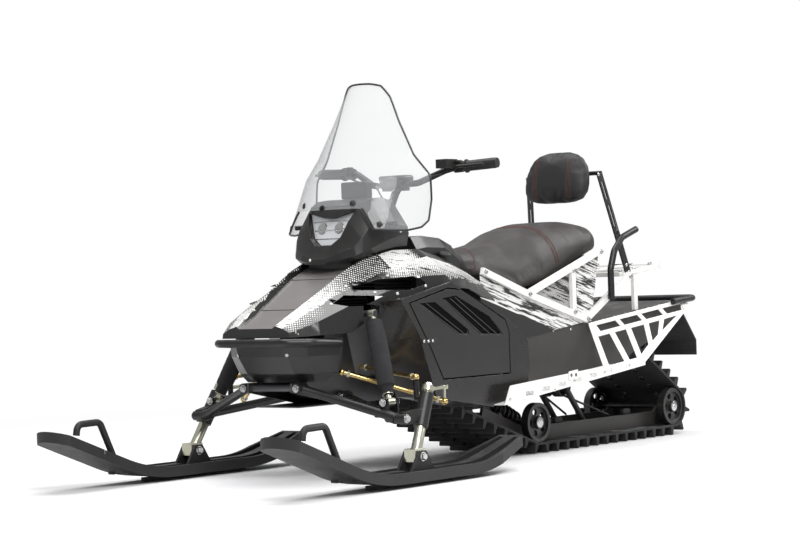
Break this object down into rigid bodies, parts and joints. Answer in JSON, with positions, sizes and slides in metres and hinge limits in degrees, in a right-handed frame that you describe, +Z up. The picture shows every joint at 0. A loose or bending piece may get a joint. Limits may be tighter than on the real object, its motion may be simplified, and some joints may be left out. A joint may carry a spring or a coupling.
{
  "type": "snowmobile",
  "caption": "Utility snowmobile with long track, two steered skis, tall windshield, low seat with backrest, rear rack and open cut side trusses.",
  "frame": {"origin": "on the ground plane under the middle of the bounding box", "axes": "+X forward, +Y to the rider's left, +Z up"},
  "size_m": [2.796, 1.102, 1.2813],
  "materials": {
    "rubber": "matte",
    "dark_steel": "satin",
    "grey_aluminium": "satin",
    "white_metal": "satin",
    "black_plastic": "satin",
    "vinyl": "satin",
    "black_metal": "satin",
    "lamp_red": "gloss",
    "gloss_black": "gloss",
    "lamp_clear": "gloss",
    "clear_screen": "gloss",
    "engine_metal": "cast",
    "shock_cover": "matte",
    "gold_rods": "satin",
    "ski_plastic": "satin",
    "zinc": "satin"
  },
  "bodies": {
    "chassis": {"track": "rubber", "wheels_and_axles": "dark_steel", "skid_frame": "grey_aluminium", "tunnel": "grey_aluminium", "running_board_left": "white_metal", "running_board_right": "white_metal", "seat_base": "black_plastic", "seat_frame": "white_metal", "seat": "vinyl", "rear_rack": "white_metal", "snow_flap": "rubber", "rear_bumper": "black_metal", "tow_hitch": "black_metal", "tail_lamp": "lamp_red", "backrest_frame": "black_metal", "backrest_pad": "vinyl", "grab_rails": "black_metal", "hood": "gloss_black", "console": "black_plastic", "lamp_pod": "gloss_black", "headlamp": "lamp_clear", "windshield": "clear_screen", "instrument": "black_plastic", "nose_pan": "gloss_black", "front_bumper": "black_metal", "side_body_left": "gloss_black", "side_body_right": "gloss_black", "front_frame": "grey_aluminium", "engine": "engine_metal", "arms_and_knuckles": "black_metal", "shock_absorbers": "shock_cover", "upper_links": "gold_rods"},
    "steering": {"handlebar": "black_metal", "hand_controls": "black_plastic"},
    "spindle_left": {"spindle_left": "zinc"},
    "spindle_right": {"spindle_right": "zinc"},
    "ski_left": {"ski_left": "ski_plastic"},
    "ski_right": {"ski_right": "ski_plastic"},
    "tie_rod_left": {"tie_rod_left": "gold_rods"},
    "tie_rod_right": {"tie_rod_right": "gold_rods"},
    "door_left": {"side_door_left": "gloss_black"},
    "door_right": {"side_door_right": "gloss_black"}
  },
  "joints": [
    {"name": "steering", "type": "hinge", "parent": "chassis", "child": "steering", "pos_m": [0.196, 0, 0.935], "axis": [-0.5128, 0, 0.8585], "range_deg": [-30, 30]},
    {"name": "spindle_left_turn", "type": "hinge", "parent": "chassis", "child": "spindle_left", "pos_m": [0.742, 0.475, 0.084], "axis": [-0.4818, -0.1257, 0.8672], "range_deg": [-30, 30]},
    {"name": "ski_left_rock", "type": "hinge", "parent": "spindle_left", "child": "ski_left", "pos_m": [0.742, 0.475, 0.084], "axis": [0, 1, 0], "range_deg": [-12, 8], "stiffness_Nm_per_rad": 40},
    {"name": "tie_rod_left_ball", "type": "hinge", "parent": "spindle_left", "child": "tie_rod_left", "pos_m": [0.528, 0.432, 0.24], "axis": [-0.4818, -0.1257, 0.8672], "range_deg": [-30, 30]},
    {"name": "spindle_right_turn", "type": "hinge", "parent": "chassis", "child": "spindle_right", "pos_m": [0.742, -0.475, 0.084], "axis": [-0.4818, 0.1257, 0.8672], "range_deg": [-30, 30]},
    {"name": "ski_right_rock", "type": "hinge", "parent": "spindle_right", "child": "ski_right", "pos_m": [0.742, -0.475, 0.084], "axis": [0, 1, 0], "range_deg": [-12, 8], "stiffness_Nm_per_rad": 40},
    {"name": "tie_rod_right_ball", "type": "hinge", "parent": "spindle_right", "child": "tie_rod_right", "pos_m": [0.528, -0.432, 0.24], "axis": [-0.4818, 0.1257, 0.8672], "range_deg": [-30, 30]},
    {"name": "service_door_left", "type": "hinge", "parent": "chassis", "child": "door_left", "pos_m": [0.02, 0.327, 0.4], "axis": [0, 0, 1], "range_deg": [0, 70]},
    {"name": "service_door_right", "type": "hinge", "parent": "chassis", "child": "door_right", "pos_m": [0.02, -0.327, 0.4], "axis": [0, 0, -1], "range_deg": [0, 70]}
  ],
  "couplings": [
    {"joint": "spindle_left_turn", "follows": "steering", "ratio": 1},
    {"joint": "tie_rod_left_ball", "follows": "steering", "ratio": -1},
    {"joint": "spindle_right_turn", "follows": "steering", "ratio": 1},
    {"joint": "tie_rod_right_ball", "follows": "steering", "ratio": -1}
  ]
}
